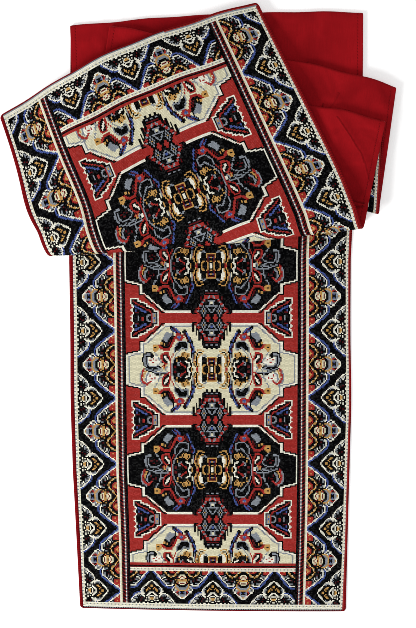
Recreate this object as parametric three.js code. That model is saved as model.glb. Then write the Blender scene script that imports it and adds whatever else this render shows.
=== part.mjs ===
// A lined table runner, half laid out flat and half folded back and forth on top of itself.
// The patterned face lies up on the flat half and on the last flap, and the plain lining
// shows on the folds between them. Units are millimetres, +Z is up, and the origin is on
// the surface under the middle of the whole folded runner. +Y points away from the flat end.

import * as THREE from 'three';

// Flat cloth
const CLOTH_WIDTH = 330;
const LINING_THICKNESS = 1.0;
const FACE_THICKNESS = 1.1;
const SEAM_GAP = 0.3;
const CLOTH_THICKNESS = LINING_THICKNESS + SEAM_GAP + FACE_THICKNESS;
const HALF_THICKNESS = CLOTH_THICKNESS / 2;

// Lining turned up round the edges of the face
const LEFT_RIM = 3.9;
const RIGHT_RIM = 2.2;
const END_RIM = 1.3;

// Lines across the cloth, from the flat end to the end of the flap, as they lie in plan.
// left and right are the outermost points of the line at the two edges of the cloth, and
// bow is how far its middle stands out past the straight line between them. reach is how
// far a fold runs out past the end of its panel, and slide is how far the cloth moves along
// a fold that it crosses at a slant. side is 1 where the line is at the far side, -1 near.
const LINES = [
  { name: 'flat end', left: [-157, -364.5], right: [169.3, -369], bow: 1.5, reach: 0, slide: 0, side: -1 },
  { name: 'waist', left: [-162.5, -189.5], right: [170, -188.5], bow: 0, reach: 0, slide: 0, side: 1 },
  { name: 'bend', left: [-162, 62], right: [166.5, 65], bow: 0, reach: 0, slide: 0, side: 1 },
  { name: 'fold 1', left: [-155, 327], right: [174, 342], bow: 5, reach: 2.0, slide: 0, side: 1 },
  { name: 'fold 2', left: [-150, 90], right: [178, 106], bow: 0, reach: 2.2, slide: 0, side: -1 },
  { name: 'fold 3', left: [-110, 326], right: [213, 260], bow: 5, reach: 2.3, slide: 0, side: 1 },
  { name: 'fold 4', left: [-136, 182], right: [195.5, 118.5], bow: -4, reach: 2.6, slide: 0, side: -1 },
  { name: 'fold 5', left: [-124, 284], right: [199.5, 221], bow: 3, reach: 3.0, slide: 0, side: 1 },
  { name: 'fold 6', left: [-183, 70.5], right: [176, 103], bow: 4, reach: 24, slide: 16, side: -1 },
  { name: 'flap end', left: [-237.5, 228], right: [55, 353], bow: 13, reach: 0, slide: 0, side: 1 },
];

// Panels between the folds. steps is the number of mesh steps in each stretch between two
// lines, and gap is the height from this panel's middle to the middle of the one on it.
const PANELS = [
  { lines: [0, 1, 2, 3], steps: [2, 2, 2], gap: 3.7 },
  { lines: [3, 4], steps: [9], gap: 3.9 },
  { lines: [4, 5], steps: [9], gap: 4.1 },
  { lines: [5, 6], steps: [6], gap: 4.3 },
  { lines: [6, 7], steps: [5], gap: 4.6 },
  { lines: [7, 8], steps: [9], gap: 5.2 },
  { lines: [8, 9], steps: [14], gap: 0 },
];
const LAST_PANEL = PANELS.length - 1;

// Drape
const FALL = 75; // run over which cloth comes down past the edge of the panels under it
const ROLL_LIFT = 10; // how much the front fold raises the start of the flap
const ROLL_RUN = 80; // run over which the flap comes down from the front fold
const ROLL_SAG = 7; // how much the under side of the front fold hangs down
const TIGHT_FOLD_STEPS = 5;
const ROLL_STEPS = 11;
const COLUMNS = 16;

// Plan of a line

function frameOf(line) {
  const dx = line.right[0] - line.left[0];
  const dy = line.right[1] - line.left[1];
  const length = Math.hypot(dx, dy);
  return {
    length,
    along: [dx / length, dy / length],
    out: [(-dy / length) * line.side, (dx / length) * line.side],
  };
}

// A point on a line: across runs from -1 at the left edge to 1 at the right, back is how far
// inside the outermost line it lies, and after is 1 past the fold and -1 before it.
function pointOnLine(line, across, back, after) {
  const frame = frameOf(line);
  const run = (frame.length * (across + 1)) / 2 - (line.slide / 2) * after;
  const rise = line.bow * (1 - across * across) - back;
  return [
    line.left[0] + frame.along[0] * run + frame.out[0] * rise,
    line.left[1] + frame.along[1] * run + frame.out[1] * rise,
  ];
}

// Height of a panel

function smoothStep(value) {
  const t = Math.min(Math.max(value, 0), 1);
  return t * t * (3 - 2 * t);
}

// 1 over a panel, falling smoothly to 0 outside its outline
function coverOf(panel, x, y) {
  const first = LINES[panel.lines[0]];
  const last = LINES[panel.lines[panel.lines.length - 1]];
  const corners = [first.left, first.right, last.right, last.left];
  const grow = [Math.max(0, first.bow), 0, Math.max(0, last.bow), 0];
  const turn = Math.sign(THREE.ShapeUtils.area(corners.map((c) => new THREE.Vector2(...c))));
  let cover = 1;
  corners.forEach((corner, i) => {
    const next = corners[(i + 1) % corners.length];
    const dx = next[0] - corner[0];
    const dy = next[1] - corner[1];
    const outside = (((x - corner[0]) * dy - (y - corner[1]) * dx) / Math.hypot(dx, dy)) * turn;
    cover *= 1 - smoothStep((outside - grow[i]) / FALL);
  });
  return cover;
}

// A panel lies on every panel below it, and comes down where they end
function heightOf(index, x, y) {
  let z = HALF_THICKNESS;
  for (let below = 0; below < index; below += 1) {
    z += PANELS[below].gap * coverOf(PANELS[below], x, y);
  }
  if (index === LAST_PANEL) {
    const roll = LINES[PANELS[index].lines[0]];
    const start = pointOnLine(roll, 0, roll.reach, 0);
    const out = frameOf(roll).out;
    const behind = -((x - start[0]) * out[0] + (y - start[1]) * out[1]);
    z += ROLL_LIFT * (1 - smoothStep(behind / ROLL_RUN));
  }
  return z;
}

// Rows of the middle surface, each a function from a place across the cloth to a point

function panelPoint(index, from, to, t, across) {
  const a = pointOnLine(LINES[from], across, LINES[from].reach, 1);
  const b = pointOnLine(LINES[to], across, LINES[to].reach, -1);
  const x = a[0] + (b[0] - a[0]) * t;
  const y = a[1] + (b[1] - a[1]) * t;
  return new THREE.Vector3(x, y, heightOf(index, x, y));
}

function foldPoint(index, t, across) {
  const line = LINES[PANELS[index + 1].lines[0]];
  const out = frameOf(line).out;
  const a = pointOnLine(line, across, line.reach, -1);
  const b = pointOnLine(line, across, line.reach, 1);
  const low = heightOf(index, a[0], a[1]);
  const high = heightOf(index + 1, b[0], b[1]);
  const angle = Math.PI * t;
  const sag = index + 1 === LAST_PANEL ? ROLL_SAG * Math.sin(angle) * (1 - t) : 0;
  const reach = line.reach * Math.sin(angle);
  return new THREE.Vector3(
    a[0] + (b[0] - a[0]) * t + out[0] * reach,
    a[1] + (b[1] - a[1]) * t + out[1] * reach,
    (low + high) / 2 - ((high - low) / 2) * Math.cos(angle) - sag,
  );
}

// margins are the distances from each end of the cloth at which rows are set
function rowsOfCloth(margins) {
  const rows = [];
  PANELS.forEach((panel, index) => {
    for (let part = 0; part < panel.steps.length; part += 1) {
      const [from, to] = [panel.lines[part], panel.lines[part + 1]];
      const length = panelPoint(index, from, to, 0, 0).distanceTo(panelPoint(index, from, to, 1, 0));
      const atEdge = margins.map((margin) => margin / length);
      const places = [];
      for (let step = part === 0 ? 0 : 1; step <= panel.steps[part]; step += 1) {
        places.push(step / panel.steps[part]);
      }
      if (index === 0 && part === 0) {
        places.splice(0, 1, ...atEdge);
      }
      if (index === LAST_PANEL) {
        places.splice(-1, 1, ...atEdge.reverse().map((place) => 1 - place));
      }
      places.forEach((t) => {
        rows.push({ flat: index === 0, at: (across) => panelPoint(index, from, to, t, across) });
      });
    }
    if (index < LAST_PANEL) {
      const steps = index + 1 === LAST_PANEL ? ROLL_STEPS : TIGHT_FOLD_STEPS;
      for (let step = 1; step < steps; step += 1) {
        rows.push({ flat: false, at: (across) => foldPoint(index, step / steps, across) });
      }
    }
  });
  return rows;
}

// Middle surface as a grid of points with the direction in which the face looks

function gridOf(rows, places) {
  const points = rows.map((row) => places.map((place) => row.at(place / (CLOTH_WIDTH / 2))));
  const normals = points.map((row, r) => row.map((point, c) => {
    if (rows[r].flat) {
      return new THREE.Vector3(0, 0, 1);
    }
    const before = points[Math.max(r - 1, 0)][c];
    const after = points[Math.min(r + 1, points.length - 1)][c];
    const ahead = new THREE.Vector3();
    if (r > 0) {
      ahead.add(point.clone().sub(before).normalize());
    }
    if (r < points.length - 1) {
      ahead.add(after.clone().sub(point).normalize());
    }
    const aside = row[Math.min(c + 1, row.length - 1)].clone().sub(row[Math.max(c - 1, 0)]);
    return aside.cross(ahead).normalize();
  }));
  return { points, normals };
}

// Closed mesh from one closed section for each row. Steps with no size are left out.
function meshBetween(sections) {
  const positions = [];
  const indices = [];
  const seen = new Map();
  const indexOf = (point) => {
    const key = point.toArray().map((value) => Math.round(value * 1e4)).join(' ');
    if (!seen.has(key)) {
      seen.set(key, positions.length / 3);
      positions.push(point.x, point.y, point.z);
    }
    return seen.get(key);
  };
  const addTriangle = (a, b, c) => {
    if (a !== b && b !== c && c !== a) {
      indices.push(a, b, c);
    }
  };
  // Both sides of the cloth are split along the same diagonal, so they stay parallel
  const addQuad = (a, b, c, d) => {
    addTriangle(a, b, c);
    addTriangle(a, c, d);
  };
  const rings = sections.map((section) => ({
    over: section.over.map(indexOf),
    under: section.under.map(indexOf),
  }));
  const last = rings[0].over.length - 1;
  rings.slice(1).forEach((far, r) => {
    const near = rings[r];
    for (let i = 0; i < last; i += 1) {
      addQuad(near.over[i], near.over[i + 1], far.over[i + 1], far.over[i]);
      addTriangle(near.under[i], far.under[i + 1], near.under[i + 1]);
      addTriangle(near.under[i], far.under[i], far.under[i + 1]);
    }
    addQuad(near.over[0], far.over[0], far.under[0], near.under[0]);
    addQuad(near.over[last], near.under[last], far.under[last], far.over[last]);
  });
  const addCap = (ring, flip) => {
    for (let i = 0; i < last; i += 1) {
      const quad = [ring.over[i], ring.under[i], ring.under[i + 1], ring.over[i + 1]];
      addQuad(...(flip ? quad.reverse() : quad));
    }
  };
  addCap(rings[0], false);
  addCap(rings[rings.length - 1], true);
  const geometry = new THREE.BufferGeometry();
  geometry.setAttribute('position', new THREE.Float32BufferAttribute(positions, 3));
  geometry.setIndex(indices);
  geometry.computeVertexNormals();
  return geometry;
}

// Both pieces share one grid. It has a row and a column at each edge of the cloth, at the
// inside of the turned-up rim, and at the edge of the face.
function placesAcross() {
  const [left, right] = [-CLOTH_WIDTH / 2, CLOTH_WIDTH / 2];
  const [start, end] = [left + LEFT_RIM + SEAM_GAP, right - RIGHT_RIM - SEAM_GAP];
  const faceWidth = end - start;
  const onFace = Array.from({ length: COLUMNS + 1 }, (_, i) => start + (faceWidth * i) / COLUMNS);
  return [left, left + LEFT_RIM, ...onFace, right - RIGHT_RIM, right];
}

const EDGE_STEPS = 2; // rows and columns between the edge of the cloth and that of the face
const ROWS = rowsOfCloth([0, END_RIM, END_RIM + SEAM_GAP]);
const PLACES = placesAcross();
const GRID = gridOf(ROWS, PLACES);

function pointOfCloth(r, c, depth) {
  return GRID.points[r][c].clone().addScaledVector(GRID.normals[r][c], depth);
}

// Patterned face: a plain sheet that lies in the tray of the lining
function faceGeometry() {
  const rowNumbers = ROWS.map((_, r) => r).slice(EDGE_STEPS, -EDGE_STEPS);
  const columnNumbers = PLACES.map((_, c) => c).slice(EDGE_STEPS, -EDGE_STEPS);
  return meshBetween(rowNumbers.map((r) => ({
    over: columnNumbers.map((c) => pointOfCloth(r, c, HALF_THICKNESS)),
    under: columnNumbers.map((c) => pointOfCloth(r, c, HALF_THICKNESS - FACE_THICKNESS)),
  })));
}

// Plain lining: a sheet under the face, with its edges turned up round the face. Its section
// has two points at each inner side of the rim, at the top of the rim and on the sheet.
function liningGeometry() {
  const lastColumn = PLACES.length - 1;
  return meshBetween(ROWS.map((_, r) => {
    const sheetTop = r < EDGE_STEPS || r >= ROWS.length - EDGE_STEPS
      ? HALF_THICKNESS
      : LINING_THICKNESS - HALF_THICKNESS;
    const section = [[0, HALF_THICKNESS], [1, HALF_THICKNESS]];
    for (let c = 1; c < lastColumn; c += 1) {
      section.push([c, sheetTop]);
    }
    section.push([lastColumn - 1, HALF_THICKNESS], [lastColumn, HALF_THICKNESS]);
    return {
      over: section.map(([c, depth]) => pointOfCloth(r, c, depth)),
      under: section.map(([c]) => pointOfCloth(r, c, -HALF_THICKNESS)),
    };
  }));
}

// Finished runner

function piece(name, geometry, color, roughness) {
  const mesh = new THREE.Mesh(
    geometry,
    new THREE.MeshStandardMaterial({ color, roughness, metalness: 0 }),
  );
  mesh.name = name;
  return mesh;
}

const runner = new THREE.Group();
runner.name = 'folded_table_runner';
runner.add(piece('face_panel', faceGeometry(), 0x6b4a42, 0.9));
runner.add(piece('lining_panel', liningGeometry(), 0x8c1420, 0.85));

export default runner;
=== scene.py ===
# %% [markdown]
# # A folded table runner
# The real runner is a long strip of patterned woven cloth, lined with plain red cotton. One
# half of it lies flat with the pattern up. The other half is folded back and forth on top of
# itself, and its last flap leans to the left.
# Everything here is worked out from the flat cloth: where a point of the flat strip comes to
# lie, which yarn is on top in each stitch of the weave, and how the two cloths are sewn.

# %% Open the frame
import math

import bpy
import numpy as np
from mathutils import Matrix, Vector


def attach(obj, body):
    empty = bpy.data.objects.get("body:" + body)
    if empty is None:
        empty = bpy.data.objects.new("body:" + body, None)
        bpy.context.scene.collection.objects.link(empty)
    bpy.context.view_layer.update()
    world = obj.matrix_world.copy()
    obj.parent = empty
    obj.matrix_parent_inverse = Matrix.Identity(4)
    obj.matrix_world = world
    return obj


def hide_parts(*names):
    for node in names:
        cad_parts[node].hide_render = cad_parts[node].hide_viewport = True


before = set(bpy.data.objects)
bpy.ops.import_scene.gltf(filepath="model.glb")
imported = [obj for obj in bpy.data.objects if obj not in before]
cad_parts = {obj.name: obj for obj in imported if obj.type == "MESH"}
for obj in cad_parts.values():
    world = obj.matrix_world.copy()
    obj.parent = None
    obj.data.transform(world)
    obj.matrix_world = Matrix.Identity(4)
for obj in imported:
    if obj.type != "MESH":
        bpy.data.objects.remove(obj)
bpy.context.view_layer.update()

# %% [markdown]
# ## Sizes of the flat cloth
# A weaver thinks in stitches: this cloth has 228 of them across and 1220 along. The lining is a
# little larger than the face, and its edges are turned up round it as a narrow red rim.

# %% Flat cloth, in millimetres
CLOTH_WIDTH = 330.0
CLOTH_LENGTH = 1830.0
HALF_THICKNESS = 1.2
FACE_THICKNESS = 1.0
LEFT_RIM = 3.9
RIGHT_RIM = 2.2
END_RIM = 1.3
STITCHES_ACROSS = 228
STITCHES_ALONG = 1220
STITCH_WIDTH = CLOTH_WIDTH / STITCHES_ACROSS
STITCH_LENGTH = CLOTH_LENGTH / STITCHES_ALONG
LENGTHS = 4
print(f"a stitch is {STITCH_WIDTH:.2f} by {STITCH_LENGTH:.2f} mm")

# %% [markdown]
# ## Where the folds are
# Folded cloth is bent in one direction only, so it is a stack of flat panels joined by rolled
# folds. Each line across the cloth is given by where its two ends lie on the table. A cloth
# simulation could fold the strip too, but it would never stop exactly on these lines, so the
# folds are built.
# Lines are in millimetres on the table. bow is how far a line curves out in the middle, reach is
# how far its fold rounds out, and wave is how much it wavers. slide is how far the cloth shifts
# along its fold, and side is 1 where a line faces +Y and -1 where it faces -Y. Two panels aren't
# quite straight either: the flat one swells a little where it shows, and the flap spreads beside
# its roll.

# %% Lines across the cloth and the panels between them
LINES = {
    "near end": dict(left=(-157, -364.5), right=(169.3, -369), bow=1.5, side=-1),
    "waist": dict(left=(-162.5, -189.5), right=(170, -188.5), side=1),
    "bend": dict(left=(-162, 62), right=(166.5, 65), side=1),
    "fold 1": dict(left=(-155, 327), right=(174, 342), bow=5, reach=2.0, wave=0.5, side=1),
    "fold 2": dict(left=(-150, 90), right=(178, 106), reach=2.2, side=-1),
    "fold 3": dict(left=(-110, 326), right=(213, 260), bow=5, reach=1.7, wave=1.0, side=1),
    "fold 4": dict(left=(-136, 182), right=(195.5, 118.5), bow=-4, reach=2.6, side=-1),
    "fold 5": dict(left=(-124, 284), right=(199.5, 221), bow=3, reach=1.8, wave=1.2, side=1),
    "front roll": dict(left=(-183, 70.5), right=(176, 103), bow=4, reach=24, slide=16, side=-1),
    "flap end": dict(left=(-237.5, 228), right=(55, 353), bow=13, wave=0.6, side=1),
}
PANELS = [
    ("near end", "waist", "bend", "fold 1"),
    ("fold 1", "fold 2"),
    ("fold 2", "fold 3"),
    ("fold 3", "fold 4"),
    ("fold 4", "fold 5"),
    ("fold 5", "front roll"),
    ("front roll", "flap end"),
]
GAPS = [3.7, 3.9, 4.1, 4.3, 4.6, 5.2]
FLAP = len(PANELS) - 1
FALL = 75.0
ROLL_LIFT, ROLL_RUN, ROLL_SAG = 10.0, 80.0, 7.0
SPREAD_AT = [-1, -0.72, -0.3, 0.4, 0.75, 1]
SPREAD = [-5.5, 4.0, 1.0, 0.0, 1.2, 3.5]
SPREAD_PEAK = 0.25
SWELL_AT = [-1, -0.75, 0.75, 1]
SWELL = [-1.2, 0, 0, 1.7]
SWELL_MIDDLE, SWELL_REACH = -105.0, 60.0
WAVE_LENGTHS = 11.0, 23.0
SECOND_WAVE = 0.7
print(len(PANELS), "panels,", len(LINES), "lines")


# %% Points on a line
def frame_of(line):
    """Length of a line across the cloth, its direction, and the direction out of its panel."""
    across = np.subtract(line["right"], line["left"])
    length = math.hypot(*across)
    along = across / length
    return length, along, np.array([-along[1], along[0]]) * line["side"]


def point_on_line(name, across, back, after):
    """across runs from -1 at the left edge to 1 at the right one. back is how far inside the
    outermost line the point lies, and after is 1 past a fold and -1 before it."""
    line = LINES[name]
    length, along, out = frame_of(line)
    run = length * (across + 1) / 2 - line.get("slide", 0) / 2 * after
    wave = np.sin(run / WAVE_LENGTHS[0] + line["left"][1])
    wave += SECOND_WAVE * np.sin(run / WAVE_LENGTHS[1] + line["right"][1])
    rise = line.get("bow", 0) * (1 - across**2) + line.get("wave", 0) * wave - back
    return np.array(line["left"]) + run[:, None] * along + rise[:, None] * out


print("front roll faces", np.round(frame_of(LINES["front roll"])[2], 3))

# %% [markdown]
# ## How high each panel lies
# A panel rests on all the panels below it and comes down softly where they end. So its height
# is a sum: each panel underneath adds its gap, times a cover that is 1 over that panel and
# falls to 0 outside it. The lining also shows soft creases, each a ridge or a valley on a line,
# and the flap rises where it comes out of its roll.


# %% Heights
def smooth_step(value):
    t = np.clip(value, 0, 1)
    return t * t * (3 - 2 * t)


def cover_of(panel, x, y):
    first, last = LINES[panel[0]], LINES[panel[-1]]
    corners = np.array([first["left"], first["right"], last["right"], last["left"]], float)
    following = np.roll(corners, -1, axis=0)
    turn = np.sign(np.sum(corners[:, 0] * following[:, 1] - following[:, 0] * corners[:, 1]))
    grow = [max(0, first.get("bow", 0)), 0, max(0, last.get("bow", 0)), 0]
    cover = np.ones_like(x)
    for corner, end, extra in zip(corners, following, grow):
        dx, dy = end - corner
        outside = ((x - corner[0]) * dy - (y - corner[1]) * dx) / math.hypot(dx, dy) * turn
        cover *= 1 - smooth_step((outside - extra) / FALL)
    return cover


CREASES = [
    dict(panel=1, start=(-128, 334), end=(-126, 280), height=-1.1, wide=3),
    dict(panel=1, start=(-120, 334), end=(-118, 282), height=1.8, wide=5),
    dict(panel=1, start=(60, 336), end=(84, 286), height=1.2, wide=9),
    dict(panel=1, start=(118, 338), end=(150, 292), height=1.3, wide=10),
    dict(panel=3, start=(152, 258), end=(130, 228), height=2.2, wide=4),
    dict(panel=3, start=(96, 272), end=(84, 250), height=1.2, wide=5),
    dict(panel=3, start=(196, 250), end=(200, 190), height=1.2, wide=4),
    dict(panel=5, start=(142, 232), end=(182, 172), height=2.4, wide=4),
    dict(panel=5, start=(172, 184), end=(184, 140), height=2.0, wide=3.5),
    dict(panel=5, start=(122, 196), end=(150, 148), height=1.2, wide=6),
    dict(panel=5, start=(158, 119), end=(192, 112), height=1.3, wide=2.6),
    dict(panel=5, start=(160, 105), end=(190, 97), height=1.3, wide=2.6),
]
CREASE_FADE = 1.6


def crease_height(crease, x, y):
    """A soft ridge, or a valley if its height is negative, that fades out at its ends."""
    start, end = np.array(crease["start"], float), np.array(crease["end"], float)
    run = end - start
    t = ((x - start[0]) * run[0] + (y - start[1]) * run[1]) / (run @ run)
    away = ((x - start[0]) * run[1] - (y - start[1]) * run[0]) / math.hypot(*run)
    return crease["height"] * np.exp(-((away / crease["wide"]) ** 2) - (CREASE_FADE * (t - 0.5)) ** 4)


def height_of(index, x, y):
    z = np.full_like(x, HALF_THICKNESS)
    for crease in CREASES:
        if crease["panel"] == index:
            z += crease_height(crease, x, y)
    for panel, gap in zip(PANELS[:index], GAPS):
        z += gap * cover_of(panel, x, y)
    if index == FLAP:
        start = point_on_line("front roll", np.zeros(1), LINES["front roll"]["reach"], 0)[0]
        out = frame_of(LINES["front roll"])[2]
        behind = -((x - start[0]) * out[0] + (y - start[1]) * out[1])
        z += ROLL_LIFT * (1 - smooth_step(behind / ROLL_RUN))
    return z


print(len(CREASES), "soft creases")


# %% [markdown]
# ## The folded strip as one surface
# The strip is followed from its near end to the end of the flap at a set of places across it.
# Its length on the way tells which stitch lies where. Almost all of the far half's slack is
# hidden in the stack, so the pattern is counted from the near end up to the stack, and from
# the far end back to the front roll.

# %% Follow the cloth
PLACES = np.linspace(-1, 1, 67)
PANEL_STEPS, FOLD_STEPS, ROLL_STEPS = 52, 10, 40
WAIST_ROW = 118.9


def panel_row(index, start, end, t):
    a = point_on_line(start, PLACES, LINES[start].get("reach", 0), 1)
    b = point_on_line(end, PLACES, LINES[end].get("reach", 0), -1)
    x, y = (a + (b - a) * t).T
    if index == 0:
        swell = np.exp(-(((y - SWELL_MIDDLE) / SWELL_REACH) ** 2))
        x = x + np.interp(PLACES, SWELL_AT, SWELL) * swell
    if index == FLAP:
        spread = (t / SPREAD_PEAK * math.exp(1 - t / SPREAD_PEAK)) ** 2
        x = x + np.interp(PLACES, SPREAD_AT, SPREAD) * spread
    return np.stack([x, y, height_of(index, x, y)], axis=1)


def fold_row(index, name, t):
    line = LINES[name]
    out = frame_of(line)[2]
    a = point_on_line(name, PLACES, line["reach"], -1)
    b = point_on_line(name, PLACES, line["reach"], 1)
    low, high = height_of(index, *a.T), height_of(index + 1, *b.T)
    angle = math.pi * t
    plan = a + (b - a) * t + out * line["reach"] * math.sin(angle)
    sag = ROLL_SAG * math.sin(angle) * (1 - t) if name == "front roll" else 0
    z = (low + high) / 2 - (high - low) / 2 * math.cos(angle) - sag
    return np.column_stack([plan, z])


def follow_cloth():
    rows, marks = [], {}
    for index, panel in enumerate(PANELS):
        for start, end in zip(panel[:-1], panel[1:]):
            marks[start] = len(rows)
            for t in np.linspace(0, 1, PANEL_STEPS + 1)[bool(start != panel[0]):]:
                rows.append(panel_row(index, start, end, t))
        marks[f"end of panel {index}"] = len(rows) - 1
        if index < FLAP:
            steps = ROLL_STEPS if index + 1 == FLAP else FOLD_STEPS
            for t in np.arange(1, steps) / steps:
                rows.append(fold_row(index, panel[-1], t))
    return np.array(rows), marks


strip, marks = follow_cloth()
print("rows on the way:", len(strip), "height of the whole:", strip[..., 2].max().round(1), "mm")


# %% Which millimetre of the flat cloth lies where
def flat_lengths(strip, marks):
    """The place along the flat cloth of each point of the strip. The rows before the waist are
    spread evenly, so that the waist lies on the row that it has in the pattern."""
    steps = np.linalg.norm(np.diff(strip, axis=0), axis=2)
    run = np.vstack([np.zeros(len(PLACES)), np.cumsum(steps, axis=0)])
    waist = run[marks["waist"] - 1]
    near = np.minimum(run / waist, 1) * WAIST_ROW * STITCH_LENGTH + np.maximum(run - waist, 0)
    far = CLOTH_LENGTH - (run[-1] - run)
    first, last = run[marks["fold 2"]], run[marks["end of panel 5"]]
    share = smooth_step((run - first) / (last - first))
    return near + (far - near) * share


along_strip = flat_lengths(strip, marks)
slack = np.diff(along_strip, axis=0) / np.linalg.norm(np.diff(strip, axis=0), axis=2)
print("cloth in the stack is drawn in by", (1 / slack.max()).round(2), "to", (1 / slack.min()).round(2))

# %% [markdown]
# ## From flat cloth to folded cloth
# One function lays any grid of the flat cloth on the folded strip. It also gives the direction
# in which the face looks, so that the face and the lining can be set above and below it.
# The pattern isn't quite centred between the hems, so in the near third of the cloth the grid's
# columns drift up to 1.6 mm to the right. The drift fades out beside the hems, faster on the
# right. The four corners of the cloth are rounded.

# %% Lay a grid on the strip
DRIFT_AT = [0, 90, 180, 370, 600, 1230, 1830]
DRIFT = [-0.4, 1.1, 1.3, 1.6, 0.0, 0.0, 0.0]
HEM_ZONES = 12.0, 4.0
CORNER = 4.0
MIDDLE = len(PLACES) // 2


def unit(vectors):
    return vectors / np.linalg.norm(vectors, axis=-1, keepdims=True)


def directions(strip):
    """At each point of the strip, where its right edge lies and where its face looks."""
    steps = unit(np.diff(strip, axis=0))
    ahead = np.concatenate([steps[:1], steps[1:] + steps[:-1], steps[-1:]])
    right = unit(np.gradient(strip, axis=1))
    return right, unit(np.cross(right, ahead))


known = np.concatenate([strip, *directions(strip)], axis=2)


def lay(across, along):
    """Middle surface and face direction at each place along (rows) and across (columns)."""
    along = np.broadcast_to(along.reshape(len(along), -1), (len(along), len(PLACES)))
    grid = np.empty((len(along), len(PLACES), known.shape[2]))
    for k in range(len(PLACES)):
        for axis in range(known.shape[2]):
            grid[:, k, axis] = np.interp(along[:, k], along_strip[:, k], known[:, k, axis])
    inside = np.minimum(across, CLOTH_WIDTH - across)
    drift = np.interp(along[:, MIDDLE], DRIFT_AT, DRIFT)[:, None]
    zone = np.where(across < CLOTH_WIDTH / 2, *HEM_ZONES)
    moved = across + drift * smooth_step(inside / zone)
    column = moved / CLOTH_WIDTH * (len(PLACES) - 1)
    left = np.clip(column.astype(int), 0, len(PLACES) - 2)
    part = (column - left)[..., None]
    row = np.arange(len(along))[:, None]
    laid = grid[row, left] * (1 - part) + grid[row, left + 1] * part
    points, right, normals = laid[..., :3], unit(laid[..., 3:6]), unit(laid[..., 6:])
    ahead = np.cross(normals, right)
    a = np.maximum(CORNER - inside, 0)
    b = np.maximum(CORNER - np.minimum(along, CLOTH_LENGTH - along)[:, MIDDLE, None], 0)
    pull = 1 - np.maximum(a, b) / np.maximum(np.hypot(a, b), 1e-9)
    a = a * pull * np.sign(CLOTH_WIDTH / 2 - across)
    b = b * pull * np.sign(CLOTH_LENGTH / 2 - along[:, MIDDLE, None])
    return points + right * a[..., None] + ahead * b[..., None], normals


near_end = lay(np.array([0, CLOTH_WIDTH / 2, CLOTH_WIDTH]), np.zeros(1))[0][0]
print("near end lies at", np.round(near_end, 1).tolist())

# %% [markdown]
# ## The weaving chart
# The pattern is charted as a weaver does it, one square for each stitch, with the number of the
# yarn that is on top. It is symmetric about the middle column, so only the left half is drawn.
# A motif is a list of shapes in places of its own, painted one over the other. It can be
# flipped and turned, so one drawing serves the sides and the ends. An image texture could hold
# the pattern too, but a chart stays sharp at any distance and needs no file.

# %% Yarns
YARNS = {
    "black": (0.0014, 0.0014, 0.0017),
    "red": (0.355, 0.027, 0.022),
    "cream": (0.73, 0.69, 0.48),
    "white": (0.84, 0.82, 0.69),
    "blue": (0.060, 0.095, 0.30),
    "grey": (0.24, 0.265, 0.30),
    "gold": (0.55, 0.30, 0.085),
    "dark red": (0.11, 0.006, 0.008),
}
YARN_NUMBER = {name: number for number, name in enumerate(YARNS)}
MIDDLE_COLUMN = STITCHES_ACROSS // 2
chart = np.full((STITCHES_ALONG, MIDDLE_COLUMN), YARN_NUMBER["red"], np.int8)
print(len(YARNS), "yarns, half a chart of", chart.shape, "stitches")


# %% Shapes
def line(yarn, wide, *points):
    return yarn, wide, points


def area(yarn, *points):
    return yarn, 0, points


def box(yarn, x0, x1, y0, y1):
    return area(yarn, (x0, y0), (x1, y0), (x1, y1), (x0, y1))


def spot(yarn, x, y, across, along):
    """A diamond of that half width and half length."""
    return area(yarn, (x - across, y), (x, y - along), (x + across, y), (x, y + along))


def spots(yarn, reach, *places):
    """Equal diamonds, as wide as they are long."""
    return [spot(yarn, x, y, reach, reach) for x, y in places]


def cells(yarn, *places):
    """Single stitches."""
    return [box(yarn, x, x + 1, y, y + 1) for x, y in places]


def disc(yarn, x, y, across, along):
    """A diamond with its corners cut off."""
    a, b = across * 0.5, along * 0.5
    return area(
        yarn, (x - across, y - b), (x - a, y - along), (x + a, y - along), (x + across, y - b),
        (x + across, y + b), (x + a, y + along), (x - a, y + along), (x - across, y + b),
    )


print("kinds of shape: line, area, box, spot, spots, cells and disc")


# %% Painting on the chart
def paint(column, row, shapes, flip=(1, 1), size=(1, 1), turned=False, **yarns):
    """Paint a motif's shapes with its own origin at that column and row of the chart."""
    for yarn, wide, points in shapes:
        points = np.array(points, float) * flip * size
        if turned:
            points = points[:, ::-1]
        points += (column, row)
        low = np.maximum(np.floor(points.min(0) - wide).astype(int), 0)
        high = np.minimum(np.ceil(points.max(0) + wide).astype(int) + 1, chart.shape[::-1])
        part = chart[low[1]:high[1], low[0]:high[0]]
        x, y = np.meshgrid(np.arange(low[0], high[0]) + 0.5, np.arange(low[1], high[1]) + 0.5)
        inside = np.zeros(x.shape, bool)
        following = np.roll(points, -1, axis=0)
        for (ax, ay), (bx, by) in zip(points[:-1] if wide else points, following):
            dx, dy = bx - ax, by - ay
            if wide:
                t = ((x - ax) * dx + (y - ay) * dy) / max(dx * dx + dy * dy, 1e-9)
                t = np.clip(t, 0, 1)
                inside |= np.hypot(x - ax - dx * t, y - ay - dy * t) <= wide / 2
            elif dy:
                crosses = (ay > y) != (by > y)
                inside ^= crosses & (x < dx * (y - ay) / dy + ax)
        part[inside] = YARN_NUMBER[yarns.get(yarn, yarn)]


def paint_both(column, row, shapes, upper=None, lower=None, side=1, **options):
    """Paint each shape above the middle of a motif and mirrored below it."""
    for shape in shapes:
        for flip, yarns in ((1, upper), (-1, lower)):
            paint(column, row, [shape], flip=(side, flip), **options, **(yarns or {}))


print("painting helpers ready")

# %% [markdown]
# ### Medallions
# Big eight-sided medallions follow each other up the red field, black and cream in turn. They
# have stepped shoulders and a light outline. Columns count from the cloth's left edge, and
# rows from the medallion's middle.

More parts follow.
